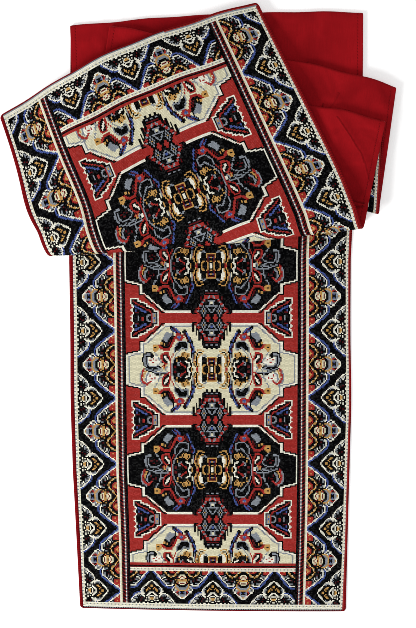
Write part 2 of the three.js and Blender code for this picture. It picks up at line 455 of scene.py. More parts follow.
# %% Medallion grounds
FIRST_MEDALLION = 37.2
LAST_MEDALLION = STITCHES_ALONG - FIRST_MEDALLION
MEDALLION_COUNT = 15
medallions = np.linspace(FIRST_MEDALLION, LAST_MEDALLION, MEDALLION_COUNT).round().astype(int)
SHOULDERS = [
    (44.8, 0), (44.8, 11.5), (50, 13), (57, 14.5), (57, 21.3), (60, 22), (76, 36), (97, 36),
]
GROUND = [
    area("ground", (MIDDLE_COLUMN, 0), (MIDDLE_COLUMN, 36.8), (76, 36.8), *SHOULDERS[5::-1]),
    line("black", 1.2, *[(x - 1.3, y + 0.8) for x, y in SHOULDERS]),
    line("inner", 1.0, *[(x + 1.25, y - 1.0) for x, y in SHOULDERS]),
    line("white", 1.2, *SHOULDERS),
]
for number, middle in enumerate(medallions):
    if number % 2:
        paint_both(0, middle, GROUND, ground="black", inner="black")
    else:
        paint_both(0, middle, GROUND, ground="cream", inner="grey")
print(len(medallions), "medallions,", np.diff(medallions)[0], "rows apart")

# %% [markdown]
# The figures in a medallion are stylised birds, leaves and curls round a dark wheel, with a
# pair of gold brackets in the middle. They are the same on both grounds, but for two yarns.

# %% Wheel and brackets
WHEEL = [
    area("black", (83, 0), (83.6, 7), (86.4, 10.4), (91, 11.4), (96, 10.2), (98.8, 6), (99.6, 0)),
    line("black", 2.4, (99.4, 12.4), (99.8, 8), (101.4, 3.4)),
    line("grey", 0.9, (99, 12), (99.4, 8.4), (100.4, 5)),
    line("dark red", 0.9, (100.6, 9.6), (101.2, 6.4)),
    line("cream", 0.9, (98, 8.8), (98.8, 5.6)),
    line("red", 0.9, (83.8, 12.4), (81.8, 8.5), (81.2, 4), (81.4, 0)),
    line("grey", 1.0, (86.2, 12), (84.2, 8.5), (82.8, 4), (82.5, 0)),
    spot("gold", 85.7, 9.4, 1.0, 1.0),
    spot("gold", 86.4, 6.8, 0.8, 0.9),
    box("dark red", 84.5, 86, 1.2, 2.7),
    line("grey", 1.0, (89.2, 6.3), (87.4, 5.2), (88.2, 3)),
    line("red", 1.3, (89.2, 5.2), (93.2, 2)),
    line("white", 1.2, (94, 6.3), (96, 5.3), (97, 2.8), (95.3, 0.4)),
    spot("gold", 98.4, 0, 1.0, 1.8),
    area(
        "gold", (88.3, 10.4), (90.3, 12.2), (91, 14.4), (93.5, 14.4), (94.2, 12.8), (96.8, 13.2),
        (97.6, 11), (95.8, 8.6), (94, 8.4), (92.5, 9.8),
    ),
    line("black", 0.9, (90.6, 10.6), (92.4, 13.4)),
    line("black", 0.9, (94.4, 9.6), (96.2, 12)),
]
BRACKETS = [
    area("white", (104, 4), (104.4, 10.5), (106.4, 11.6), (107.2, 8), (106.2, 4.6), (105.4, 2)),
    area("black", (107, 3.2), (106.6, 7), (107.6, 9.8), (110, 10.2), (111.6, 7), (111.2, 4)),
    line("grey", 1.0, (107.2, 10.8), (109, 11.4), (111, 10), (111.8, 8)),
    line("gold", 1.1, (107, 12.4), (104.8, 11.6), (103.6, 8.5), (103.5, 5.5), (105, 2)),
    line("black", 1.1, (106.2, 13.8), (103.8, 13), (102.2, 9), (102.1, 5.5), (103.6, 1)),
    line("gold", 1.0, (108.2, 14.2), (106.6, 15.4), (103.4, 15), (101.4, 11), (100.8, 6), (102.4, 1.6)),
    spot("red", 103.2, 0, 1.3, 2.4),
    box("black", 111.8, 118, 0, 9),
    line("gold", 1.0, (111.6, 6.8), (111.6, 9.4), (118, 9.4)),
    line("dark red", 1.0, (112.9, 3.5), (112.9, 8.2), (118, 8.2)),
    spot("blue", 113.7, 6.6, 0.9, 0.9),
    *spots("gold", 0.9, (115, 6.4), (115, 3.6)),
    spot("white", 115, 0, 1.4, 2.4),
    area("black", (107.8, 0), (107.8, 2.4), (109.4, 4), (111.2, 4), (112.4, 2.4), (112.4, 0)),
    line("gold", 0.9, (107.8, 0), (107.8, 2.4), (109.4, 4), (111.2, 4), (112.4, 2.4), (112.4, 0)),
]
print("wheel and brackets have", len(WHEEL), "and", len(BRACKETS), "shapes")

# %% Birds, rings, leaves and bars
BIRDS = [
    area("black", (72.5, 20), (76, 17), (81, 17), (85, 26), (83.5, 30), (80, 24.6), (74.5, 24)),
    line("dark red", 0.9, (79, 18.6), (82, 24)),
    area("grey", (75, 25.4), (77.6, 29.6), (82.6, 29.4), (82.9, 27), (80, 24.4), (78.6, 22.3), (76, 22.6)),
    box("gold", 73.4, 74.7, 19.9, 21.9),
    box("gold", 76.1, 77.4, 19, 21),
    line(
        "red", 1.7, (71.6, 19.4), (73.4, 17.4), (76, 16.2), (80.2, 16.2), (82, 18.8), (83.8, 23),
        (85.6, 26.6),
    ),
    area("red", (84.6, 25.6), (86.5, 28.6), (91, 28.4), (92.6, 25.6), (91, 23.4), (87, 23)),
    spot("grey", 88.4, 25.8, 2.2, 1.7),
    spot("blue", 88.6, 25.6, 1.6, 1.2),
]
RINGS = [
    line("grey", 1.1, (68, 15), (68.6, 13.3), (70, 11.6)),
    disc("gold", 69.1, 17.4, 2.5, 2.9),
    spot("black", 68.8, 17.4, 0.9, 0.9),
]
LOOPS = [
    area("black", (84, 13), (84.8, 18), (88, 22), (92, 23), (95.6, 21), (96, 17.5), (94, 15), (90, 17)),
    line("grey", 1.0, (84, 13), (84.8, 18), (88, 22), (92, 23), (95.4, 21.4), (96, 18), (94, 15)),
    line("grey", 1.0, (86.6, 12.6), (91, 17.8), (93.4, 16)),
]
BARS = [
    line("black", 3.4, (93, 30), (97, 23)),
    line("black", 3.4, (98.2, 21.5), (100, 13.5)),
    line("blue", 1.1, (94.2, 30), (97.6, 23)),
    line("dark red", 0.9, (92.6, 29), (95.4, 23)),
    line("blue", 1.1, (98.6, 20.6), (100.6, 16), (99.6, 13.4)),
    line("dark red", 0.9, (97.4, 19.6), (98.4, 14.6)),
    line("black", 3.2, (82.4, 33.2), (88, 29)),
    line("blue", 1.0, (82, 33), (86, 29.4)),
    line("blue", 1.0, (84.8, 33.4), (89, 29.6)),
    line("dark red", 0.8, (83.6, 33), (87.4, 29.6)),
]
UPPER_LEAF = [
    area("black", (74, 5), (73.8, 11), (75.6, 12.8), (79.4, 13), (80.6, 8), (80, 5.4)),
    line("red", 1.2, (76, 5.6), (74, 8), (74, 11.2), (75.6, 12.9), (79.6, 12.9)),
    line("red", 1.2, (79.2, 11.4), (80.8, 9), (81.4, 5)),
    line("white", 1.5, (76.6, 10.6), (77.6, 9), (79, 7.4), (79.6, 5.8)),
]
LOWER_LEAF = [
    area("black", (80, -3), (76, -5), (74.2, -10), (76, -13.6), (79, -13.6), (80.6, -8)),
    line("red", 1.2, (80.2, -2.6), (76.4, -5), (74.4, -8.4), (74.6, -12), (76.6, -13.8), (79.4, -13.4)),
    line("red", 1.2, (79.4, -13), (80.8, -9), (80.6, -6)),
    line("white", 1.5, (76.6, -11), (78, -9), (79.6, -7)),
]
HEART = [
    area("red", (74, 2), (76.4, 5.4), (79, 4.4), (77, 1)),
    spot("gold", 75.6, 2.2, 1.0, 1.0),
    spot("gold", 77.6, 2.8, 0.8, 0.8),
    spot("black", 76.6, 3.2, 0.7, 0.7),
    spot("gold", 76.2, 0.6, 0.8, 0.8),
    line("grey", 1.0, (78.6, 2.4), (77, 0), (78.2, -1.6)),
    box("white", 79.2, 80.8, -1.4, 1.8),
]
print("a bird has", len(BIRDS), "shapes")

# %% Curls
CURLS = [
    area("inside", (61.5, 3), (61.5, 10), (65, 11.4), (70, 10.4), (73.4, 7), (72, 3), (66, 1.8)),
    area("inside", (60.5, -3), (60.6, -9.5), (64, -11), (68, -10.6), (72, -6), (69, -3.6)),
    line("black", 3.8, (66, 11.2), (64.6, 12.4), (60.8, 11.6), (60, 7.5), (60.8, 4), (63, 1.6), (72, 1)),
    line("grey", 1.5, (64.6, 12.2), (60.9, 11.6), (59.9, 7.5), (60.6, 4), (62, 1.4)),
    line("grey", 1.0, (62.6, 9.6), (62.4, 6.6), (63.2, 3.8), (65, 2.1), (70, 2), (71.6, 0.8), (74.2, -0.2)),
    line("black", 2.8, (61.6, 0.4), (67, -1.4), (69.6, -3.2), (79, -3)),
    line("grey", 1.1, (61.6, 0.6), (64.4, -0.6), (67, -1.2), (70, -2.8), (78.4, -2.9)),
    line("grey", 0.9, (66, 0.2), (71, -0.4), (74, -1.4)),
    line("grey", 1.0, (71.2, 10), (72.6, 7.4), (74.4, 5.2)),
    line("grey", 1.0, (70.8, 3.2), (73.4, 5.4)),
    *spots("mark", 0.9, (65.3, 7.4), (67.4, 8.6), (69.2, 7.2), (66.8, 5.6)),
    spot("gold", 66.2, 7, 0.6, 0.6),
    line("grey", 1.2, (59, 0), (57, -3.4), (56.2, -7.4), (57.8, -11), (60.4, -13)),
    line(
        "red", 1.5, (59.4, 0), (58.3, -3.6), (57.6, -7), (59.2, -10.4), (61.4, -12.2),
        (63.2, -11.6), (65, -9.8),
    ),
    line("gold", 1.4, (61, -1.4), (60, -3.6), (59.2, -6)),
    line("grey", 1.2, (63.8, -2.8), (61.6, -5), (60.9, -8), (62.2, -10.2)),
    *spots("mark", 0.9, (64.6, -5), (66.2, -7.4), (68.6, -7)),
    line("grey", 1.0, (72.2, -3.8), (72.4, -6.6), (71, -9.6)),
    line("grey", 1.0, (72.4, -6.4), (74.4, -6.6)),
]
FIGURE_SHIFT = -1
for number, middle in enumerate(medallions):
    yarns = dict(inside="black", mark="dark red") if number % 2 else dict(inside="white", mark="red")
    paint(FIGURE_SHIFT, middle, CURLS, **yarns)
    for shapes in (WHEEL, BRACKETS, LOOPS, BARS, BIRDS, RINGS):
        paint_both(FIGURE_SHIFT, middle, shapes)
    for shapes in (UPPER_LEAF, LOWER_LEAF, HEART):
        paint(FIGURE_SHIFT, middle, shapes)
print("a medallion has", sum(map(len, (WHEEL, BRACKETS, LOOPS, BARS, BIRDS, RINGS, CURLS))), "shapes")

# %% [markdown]
# ### Between the medallions
# Where two medallions meet, a comb-edged hexagon links them in the middle, and a small
# trapezium with a wavy side fills the red field by each border.

# %% Links and trapeziums
links = (medallions[1:] + medallions[:-1]) // 2
LINK = [
    area("black", (14, 3), (12, 9), (9.6, 13), (8, 18), (7, 23.5), (0, 23.5), (0, 0), (9, 0)),
    box("black", 14.4, 15.8, 3, 10.6),
    box("black", 11.8, 13.2, 5, 14.4),
    box("black", 9.2, 10.6, 8, 18),
    box("black", 6.8, 8.2, 12, 22.4),
    box("black", 3.4, 4.6, 23, 24.6),
    box("black", 0, 1, 23, 24.6),
    line("dark red", 1.0, (13.6, 4), (12.6, 8)),
    line("dark red", 0.9, (8.8, 14), (8.8, 17)),
    area("red", (17, 0), (17, 3), (9.4, 3), (8.2, 0)),
    area("red", (11, 2.6), (13.4, 5), (12, 6), (9.6, 3)),
    spot("grey", 11.2, 5.6, 0.9, 1.2),
    spot("red", 10.3, 7.4, 1.3, 1.6),
    spot("grey", 9.3, 9.6, 0.9, 1.2),
    spot("red", 8, 11.3, 1.2, 1.5),
    spot("grey", 7, 12.6, 0.9, 1.2),
    spot("red", 6, 13.8, 1.1, 1.3),
    spot("grey", 5.3, 15.3, 0.9, 1.3),
    spot("black", 6.5, 5.5, 3.2, 5),
    spot("grey", 6.5, 5.5, 2.5, 4.2),
    spot("black", 6.5, 5.5, 1.4, 2.2),
    box("gold", 5.6, 7.4, 5, 6),
    spot("black", 3.1, 0, 3.4, 4.9),
    spot("red", 3.1, 0, 2.2, 3.7),
    area("grey", (0, 2.8), (4.8, 9.6), (0, 9.6)),
    area("black", (0, 4.6), (3, 8.8), (0, 8.8)),
    spot("inside", 0, 7, 1.2, 1.2),
    box("black", 0, 4, 9.7, 15),
    box("grey", 1.2, 2, 9.7, 13),
    box("cream", 0, 1.2, 11, 12.6),
    box("grey", 0, 3.3, 13.2, 14.4),
    box("red", 0, 5.8, 14.8, 17.6),
    line("grey", 1.0, (1.5, 17.2), (3, 15.2)),
    box("black", 0, 1.2, 14.8, 15.6),
    box("dark red", 0, 5.4, 19.2, 20.2),
    spot("grey", 4.2, 21.6, 0.9, 1.3),
    spot("grey", 0, 21.6, 0.9, 1.3),
]
TRAPEZIUM_EDGE = [
    (52, 0), (51, 1.5), (52.8, 4), (50.8, 6.5), (52.6, 9), (51, 11), (50.2, 14.6), (51.2, 15.8),
    (56, 15.8), (56.3, 14), (58.6, 13.6), (59, 12.3), (63.3, 11.8), (63.6, 9.8), (66.4, 8.6),
    (68.8, 7.8), (69.2, 6), (72.3, 5.4), (72.4, 0),
]
TRAPEZIUM = [
    area("black", *TRAPEZIUM_EDGE),
    line("white", 1.1, *TRAPEZIUM_EDGE),
    line("red", 1.0, (52.4, 13.6), (56, 11), (60, 9), (64, 6.6), (66.4, 5.6), (67.2, 3), (67.2, 0)),
    line("blue", 1.4, (53.4, 9.6), (57, 7.8), (59.8, 5.6), (62.6, 4.8)),
    line("blue", 1.0, (54, 6), (55.4, 6)),
    line("dark red", 0.9, (54, 4.6), (56.6, 4.6)),
    spot("grey", 56.3, 1, 1.1, 1.6),
    box("red", 59.4, 61.2, 0, 1.5),
    line("grey", 1.1, (66, 2.7), (64.2, 2.2), (63.4, 0)),
    box("grey", 68.5, 70.6, 0, 3.8),
    spot("gold", 69.6, 2, 0.9, 1.1),
    spot("blue", 69.6, 0, 0.9, 1.0),
]
TRAPEZIUM_SHIFT = -2
for middle in links:
    paint_both(MIDDLE_COLUMN, middle, LINK, {"inside": "black"}, {"inside": "blue"}, side=-1)
    paint_both(TRAPEZIUM_SHIFT, middle, TRAPEZIUM)
print(len(links), "links at rows", links[:3], "and so on")

# %% [markdown]
# ### Borders
# A wide black zigzag runs round the field between a cream edge and a white guard. Palmettes
# stand in its bays, with their feet on the cream edge or on the guard in turn. Places in a
# bay count from the cream edge inwards and from the bay's middle. Small details are single
# stitches, so they are boxes on whole numbers.

# %% Bays of the zigzag
GUARD_BAY = [
    area("red", (30, 25.4), (24.6, 21), (25.2, 17.4), (30, 17)),
    line(
        "blue", 1.3, (31, 27), (28, 24.8), (22.4, 20.8), (17.6, 17), (14.9, 14), (13.7, 11.5),
        (13.4, 9.4), (14.2, 7.6),
    ),
    line(
        "white", 1.0, (30, 24.9), (24, 20.4), (18.6, 15.8), (15.9, 13.2), (15, 11), (15.6, 9),
        (17, 7.6),
    ),
    line("grey", 0.9, (19.6, 15.6), (20.8, 13.2)),
    line("white", 0.9, (21.4, 17), (22.6, 14.2)),
    line("grey", 0.9, (23.2, 18), (24.2, 15.4)),
    line("grey", 0.8, (17.2, 13.4), (17.8, 11.6)),
    line("grey", 0.9, (17.4, 8.2), (19.6, 7.4)),
    *cells("dark red", (20, 12), (19, 9)),
    *cells("gold", (28, 21), (27, 18)),
    area("red", (30, 12.6), (27.4, 11), (26, 8.9), (27.4, 6.8), (30, 5.4)),
    line("gold", 0.9, (29.6, 10.8), (27.6, 8.9), (29.4, 7)),
    line(
        "gold", 1.0, (29.6, 16), (26.4, 14), (24.2, 12), (22.9, 9.6), (23.2, 7.6), (24.6, 5.9),
        (26, 4.8), (27.4, 3.2), (29.2, 0.6),
    ),
    line("red", 0.9, (26.2, 7.2), (27.6, 5.4), (29.2, 3.6)),
    *cells("cream", (27, 14), (24, 11), (23, 7), (26, 4)),
    area("grey", (4.4, 0), (9.8, 6.9), (11.4, 8), (14, 6.6), (13.8, 4), (13.4, 0)),
    area("black", (7.4, 0), (8.4, 3.6), (10.4, 3.6), (10.6, 0)),
    line("black", 0.9, (7.4, 5), (8.6, 5.9)),
    box("white", 10, 11, 6, 7),
    *cells("black", (11, 7), (9, 5)),
    box("white", 12, 13, 5, 6),
    box("black", 13, 14, 6, 7),
    line("red", 1.2, (5.4, 0.8), (6.4, 2.8), (8.2, 4.4), (10.2, 4.2), (11, 3)),
    box("dark red", 8, 9, 4, 5),
    box("gold", 5, 6, 0, 1),
    line("grey", 0.9, (7.3, 0), (7.5, 1.6), (8.6, 2.9), (10.2, 2.9)),
    box("blue", 9, 10, 1, 2),
    line("white", 1.1, (4, 0), (6, 2.7), (8, 5), (10, 7.4), (11.4, 8.5), (12.8, 8), (14.4, 6.8)),
    disc("black", 20.8, 0, 6.2, 5.4),
    line("gold", 1.1, (14, 5.4), (12.6, 4.4), (11.7, 2.8), (11.4, 0)),
    box("gold", 15, 17, 5, 6),
    line("grey", 1.6, (15, 4.6), (13.4, 3), (12.9, 0)),
    box("cream", 16, 19, 0, 2),
    box("cream", 17, 19, 2, 3),
    box("dark red", 17, 18, 0, 2),
    box("gold", 19, 21, 0, 4),
    box("dark red", 20, 21, 0, 1),
    box("cream", 21, 25, 0, 2),
    box("cream", 22, 24, 2, 3),
    box("dark red", 23, 24, 0, 1),
    *cells("red", (22, 1), (17, 3), (22, 3)),
    *cells("gold", (18, 4), (20, 5)),
]
EDGE_BAY = [
    area("black", (0, 0), (0, 18), (5, 15), (8, 11.4), (7, 7), (14, 7), (20.4, 0)),
    line("shade", 1.2, (-1, 22), (2, 19.4), (5, 16.9), (7.6, 14.8), (9.6, 12.3), (10, 9.6)),
    line(
        "white", 1.0, (-0.5, 20.4), (3.4, 17.2), (5.6, 15.2), (7.3, 13.2), (8.6, 11.2),
        (8.6, 9.4), (7.4, 7.6), (5.6, 6.2),
    ),
    line("grey", 0.9, (0, 18.4), (1.8, 15.4)),
    line("white", 0.9, (1.6, 17), (3, 13.8)),
    line("grey", 0.9, (3.6, 15.6), (4.8, 12.8)),
    line("white", 0.8, (0, 14.4), (1, 12.4)),
    line("grey", 0.8, (5.6, 13.6), (6.2, 11.6)),
    line("grey", 0.8, (6.8, 9.6), (7.4, 11.2)),
    *cells("dark red", (2, 9), (4, 8)),
    line("grey", 1.3, (10.2, 7.4), (12.4, 7)),
    line(
        "white", 1.1, (8.4, 6.9), (9.6, 8.4), (10.9, 9.1), (12.2, 8.7), (13.6, 7.5), (15.6, 5.1),
        (17.9, 2.4), (19.8, 0),
    ),
    line("gold", 1.2, (10.3, 4.7), (12, 3.4)),
    line("gold", 1.0, (12.6, 1.7), (13.8, 2.5)),
    box("gold", 14, 16, 0, 1),
    line("white", 1.2, (6.5, 4.3), (8.4, 2.2), (9.8, 0.4), (9.8, 0)),
    box("gold", 3, 5, 0, 1),
    box("gold", 4, 5, 1, 2),
    box("cream", 3, 4, 1, 2),
    *cells("white", (1, 0), (2, 2)),
    box("white", 4, 6, 2, 3),
    box("white", 6, 7, 0, 2),
    box("white", 0, 1, 3, 4),
    box("white", 2, 3, 4, 6),
    box("white", 4, 5, 4, 5),
    box("white", 0, 1, 6, 8),
    box("white", 0, 1, 10, 11),
]


def paint_bay(shapes, column, row, **options):
    paint_both(column, row, shapes, {"shade": "black"}, {"shade": "blue"}, **options)


print("palmettes have", len(GUARD_BAY), "and", len(EDGE_BAY), "shapes")

# %% [markdown]
# The end borders are painted first, because the side borders and their guards run on to the
# very ends. The same bays are used, turned to stand on the ends. A stripe is given by its first
# and last row, its yarn, and whether it takes every column or only each second or third.


# %% End borders
def stripe(first, last, yarn, left=0, every=1):
    """Rows of one yarn at both ends of the cloth, from the column left inwards."""
    chart[first:last, left::every] = YARN_NUMBER[yarn]
    chart[STITCHES_ALONG - last:STITCHES_ALONG - first, left::every] = YARN_NUMBER[yarn]


END_PITCH = 52.5
EDGE_ROWS = 6
GUARD_LEFT, FIELD_LEFT = 35, 44
END_STRIPES = [
    (34, 37, "white", 1), (35, 36, "cream", 1), (35, 36, "grey", 3), (37, 38, "dark red", 1),
    (38, 39, "black", 1), (39, 41, "red", 1),
]
stripe(0, END_STRIPES[0][0], "black", FIELD_LEFT)
for row, inward in ((EDGE_ROWS, 1), (STITCHES_ALONG - EDGE_ROWS, -1)):
    turn = dict(turned=True, size=(inward, 1))
    for bay in (0, 1, 2):
        paint_bay(GUARD_BAY, round(MIDDLE_COLUMN - END_PITCH * (1.5 - bay)), row, **turn)
        paint_bay(EDGE_BAY, round(MIDDLE_COLUMN - END_PITCH * (1 - bay)), row, **turn)
for first, last, yarn, every in END_STRIPES:
    stripe(first, last, yarn, FIELD_LEFT, every)
print("end borders are", last, "rows deep")

# %% [markdown]
# The border doesn't begin alike at both ends: the near end has an edge palmette in its corner and
# the far end a guard palmette. The bays in between are a little longer to make up for it. The
# guard is a few columns of one yarn each, with a second yarn in every second or third stitch.

# %% Side borders
BAY_NUMBERS = [-1, 14, 35, 45]
BAY_ROWS = [-11, 394, 981, 1251]
EDGE_COLUMNS = 5
chart[:, :GUARD_LEFT] = YARN_NUMBER["black"]
for shapes, first in ((GUARD_BAY, -1), (EDGE_BAY, 0)):
    for number in range(first, BAY_NUMBERS[-1] + 1, 2):
        paint_bay(shapes, EDGE_COLUMNS, round(np.interp(number, BAY_NUMBERS, BAY_ROWS)))
GUARD = ["white", "cream", "dark red", "black", "dark red", "grey", "dark red", "black", "black"]
HATCHED = [
    (37, 0, 3, "black"), (38, 1, 3, "dark red"), (39, 2, 3, "black"), (39, 0, 3, "red"),
    (40, 0, 3, "white"), (41, 1, 2, "black"),
]
for column, yarn in enumerate(GUARD, GUARD_LEFT):
    chart[:, column] = YARN_NUMBER[yarn]
for column, first, every, yarn in HATCHED:
    chart[first::every, column] = YARN_NUMBER[yarn]
print("the guard has", len(GUARD), "columns")

# %% Cream edge and red rim
EDGE_STRIPES = [
    (0, 1, "red", 1), (1, 2, "black", 1), (1, 2, "grey", 2), (2, EDGE_ROWS, "white", 1),
    (4, 5, "cream", 1), (4, 5, "grey", 3),
]
for first, last, yarn, every in EDGE_STRIPES:
    stripe(first, last, yarn, every=every)
RED_COLUMNS = 3
chart[-2] = YARN_NUMBER["grey"]
chart[:, :RED_COLUMNS] = YARN_NUMBER["red"]
side_edge = chart[RED_COLUMNS:-RED_COLUMNS, RED_COLUMNS:EDGE_COLUMNS]
side_edge[:] = YARN_NUMBER["white"]
side_edge[::2, 1] = YARN_NUMBER["cream"]
side_edge[::3, 0] = YARN_NUMBER["grey"]
print("cream edge is", side_edge.shape[1], "columns wide")


# %% Whole chart
RIM_WIDENS = 150


def whole_chart():
    """Both halves. At the right of the far end, a last red row widens the rim."""
    whole = np.hstack([chart, chart[:, ::-1]])
    whole[-2, RIM_WIDENS:] = YARN_NUMBER["red"]
    whole[-3, RIM_WIDENS:] = YARN_NUMBER["grey"]
    return whole


yarn_chart = whole_chart()
print("whole chart", yarn_chart.shape)

# %% [markdown]
# ## Materials
# Shader maths is easier to read as Python. The class Value wraps one socket, and its operators
# add the Math nodes. Colours are mixed with Mix nodes, because a Math node would turn them grey.


# %% A small language for shaders
class Value:
    """One number socket of a node tree."""

    def __init__(self, shader, socket):
        self.shader, self.socket = shader, socket

    def math(self, operation, *others):
        inputs = dict(enumerate([self, *others]))
        return self.shader.node("ShaderNodeMath", {"operation": operation}, inputs)["Value"]

    def __add__(self, other):
        return self.math("ADD", other)

    def __sub__(self, other):
        return self.math("SUBTRACT", other)

    def __mul__(self, other):
        return self.math("MULTIPLY", other)

    def __truediv__(self, other):
        return self.math("DIVIDE", other)

    def __rsub__(self, other):
        made = self.shader.node("ShaderNodeMath", {"operation": "SUBTRACT"}, {0: other, 1: self})
        return made["Value"]

    __radd__, __rmul__ = __add__, __mul__


class Made:
    """A node that has been made. Its outputs are read by name."""

    def __init__(self, shader, node):
        self.shader, self.raw = shader, node

    def __getitem__(self, name):
        return Value(self.shader, self.raw.outputs[name])


class Shader:
    """A material in the making."""

    def __init__(self, name):
        self.material = bpy.data.materials.new(name)
        self.material.use_nodes = True
        self.tree = self.material.node_tree
        self.surface = self.tree.nodes["Principled BSDF"]

    def feed(self, socket, given):
        if isinstance(given, Value):
            self.tree.links.new(given.socket, socket)
        else:
            socket.default_value = given

    def node(self, kind, settings=None, inputs=None):
        raw = self.tree.nodes.new(kind)
        for name, value in (settings or {}).items():
            setattr(raw, name, value)
        for name, given in (inputs or {}).items():
            self.feed(raw.inputs[name], given)
        return Made(self, raw)

    def ramp(self, factor, stops, steps="LINEAR"):
        """A colour ramp. stops are pairs of a place from 0 to 1 and a colour."""
        made = self.node("ShaderNodeValToRGB")
        ramp = made.raw.color_ramp
        ramp.interpolation = steps
        while len(ramp.elements) < len(stops):
            ramp.elements.new(1.0)
        for element, (place, colour) in zip(ramp.elements, stops):
            element.position = place
            element.color = (*colour, 1)
        self.feed(made.raw.inputs["Fac"], factor)
        return made["Color"]

    def mix(self, factor, first, second, blend="MIX"):
        made = self.node("ShaderNodeMix", {"data_type": "RGBA", "blend_type": blend})
        for place, given in ((0, factor), (6, first), (7, second)):
            self.feed(made.raw.inputs[place], given)
        return Value(self, made.raw.outputs[2])

    def shade(self, colour, light, top=1.0):
        """A colour times a number. A ramp stops at 1, so a number up to top is scaled for it."""
        grey = self.ramp(light * (1 / top), [(0, (0,) * 3), (1, (top,) * 3)])
        return self.mix(1.0, colour, grey, "MULTIPLY")

    def finish(self, **sockets):
        for name, given in sockets.items():
            self.feed(self.surface.inputs[name.replace("_", " ")], given)
        return self.material


print("shader helpers ready")

# %% [markdown]
# ### Face cloth
# Each face of the mesh is one stitch and carries the number of its yarn. A ramp with hard steps
# turns the number into the yarn's colour. Spun yarn is never quite even, so each stitch has a
# random tone, and some are a little fuzzy. A wave darkens the gaps between the stitches with
# painted shade and drives the bump, so the ribs of the weave catch the light.


# %% Woven face
FLOAT_ROUNDNESS = 0.6
TONE_LIGHT = 0.92, 0.26
# Painted shade between the floats: the colour is scaled by the first number in a gap and by the sum of both
# in the middle of a float.
FLOAT_LIGHT = 0.526, 0.33
FUZZ_FROM, FUZZ_SHARE = 0.55, 0.055
FUZZ_COLOUR = (0.5, 0.5, 0.5, 1)
WEAVE_BUMP = {"Strength": 0.5, "Distance": 0.0004}


def woven_height(shader):
    """1 in the middle of a float and 0 between two. Like bricks, the floats of every second row
    are shifted by half a stitch."""
    place = shader.node("ShaderNodeUVMap", {"uv_map": "OFBake"})["UV"]
    place = shader.node("ShaderNodeSeparateXYZ", None, {0: place})
    rows = place["Y"] * (STITCHES_ALONG / LENGTHS)
    columns = place["X"] * (CLOTH_LENGTH / LENGTHS / STITCH_WIDTH) + rows.math("FLOOR") * 0.5
    height = 1.0
    for stitches in (rows, columns):
        wave = (stitches * math.pi).math("SINE")
        height = wave.math("ABSOLUTE").math("POWER", FLOAT_ROUNDNESS) * height
    return height


def face_material():
    shader = Shader("woven_face")
    yarn = shader.node("ShaderNodeAttribute", {"attribute_name": "yarn"})["Fac"]
    stops = [(number / len(YARNS), colour) for number, colour in enumerate(YARNS.values())]
    colour = shader.ramp((yarn + 0.5) / len(YARNS), stops, "CONSTANT")
    tone = shader.node("ShaderNodeAttribute", {"attribute_name": "tone"})["Fac"]
    height = woven_height(shader)
    # light is each stitch's own random tone times painted shade, which is darkest in the gaps between the
    # floats.
    light = (tone * TONE_LIGHT[1] + TONE_LIGHT[0]) * (height * FLOAT_LIGHT[1] + FLOAT_LIGHT[0])
    colour = shader.shade(colour, light)
    fuzz = (tone - FUZZ_FROM).math("MAXIMUM", 0) * FUZZ_SHARE
    colour = shader.mix(fuzz, colour, FUZZ_COLOUR)
    bump = shader.node("ShaderNodeBump", None, {**WEAVE_BUMP, "Height": height})
    return shader.finish(
        Base_Color=colour, Roughness=0.95, Specular_IOR_Level=0.02, Normal=bump["Normal"],
    )


face_cloth = face_material()
print("face material has", len(face_cloth.node_tree.nodes), "nodes")


# %% [markdown]
# ### Lining cotton
# The lining is a plain red cotton, a little patchy, with slubs along its threads. The rim that is
# turned over the face is ribbed and darker. On the back a line of needle holes runs beside the
# edge, and a few sharp creases are left from folding. The seam line, its holes and the creases are
# darkened with painted shade. The map of the lining is its flat cloth in two halves, so all of
# this is placed in millimetres.

# %% Marks on the lining
SEAM_INSIDE = 6.0
SEAM_HALF = 1.3
STITCH_PITCH = 3.4
CREASE_HALF = 1.7


def triangle(value, middle):
    """Distance from the nearer end of a length, given the place on it and its middle."""
    return middle - (value - middle).math("ABSOLUTE")


def band(value, middle, half):
    """1 where a value is at the middle of a band, falling to 0 at its sides."""
    return (1 - (value - middle).math("ABSOLUTE") / half).math("MAXIMUM", 0)


# Each crease is given by its panel, its strength and its places on the table. Its strength sets both its
# relief and its painted shade.
SHARP_CREASES = [
    (5, 1.3, [(146, 226), (160, 204), (173, 186), (175, 175)]),
    (5, 1.0, [(176, 178), (180, 156)]),
    (5, 2.6, [(164, 134), (175, 131)]),
    (5, 2.6, [(166, 128), (178, 124)]),
    (5, 2.6, [(168, 121), (180, 118)]),
    (5, 2.2, [(170, 114), (181, 112)]),
    (3, 1.2, [(147, 254), (138, 240), (132, 234)]),
    (3, 2.4, [(131, 241), (132, 236)]),
    (3, 2.0, [(154, 235), (156, 229)]),
    (3, 2.0, [(161, 233), (162, 228)]),
]


def flat_place(panel, place):
    """Where a point of a panel's back, given by its place on the table, lies in the lining's map."""
    first = marks[PANELS[panel][0]]
    last = marks[f"end of panel {panel}"] + 1
    away = np.hypot(strip[first:last, :, 0] - place[0], strip[first:last, :, 1] - place[1])
    row, column = np.unravel_index(away.argmin(), away.shape)
    across = (PLACES[column] + 1) / 2 * CLOTH_WIDTH
    return np.array([2 * CLOTH_WIDTH - across, along_strip[first + row].mean()])


def crease_mark(side, along, start, end):
    """1 on a thin line between two places of the map, falling to 0 beside it and past its ends."""
    run = end - start
    length = math.hypot(*run)
    ahead = ((side - start[0]) * run[0] + (along - start[1]) * run[1]) / length
    past = (ahead - length / 2).math("ABSOLUTE") - length / 2
    away = ((side - start[0]) * run[1] - (along - start[1]) * run[0]) / length
    distance = away.math("ABSOLUTE") + past.math("MAXIMUM", 0)
    return (1 - distance / CREASE_HALF).math("MAXIMUM", 0)


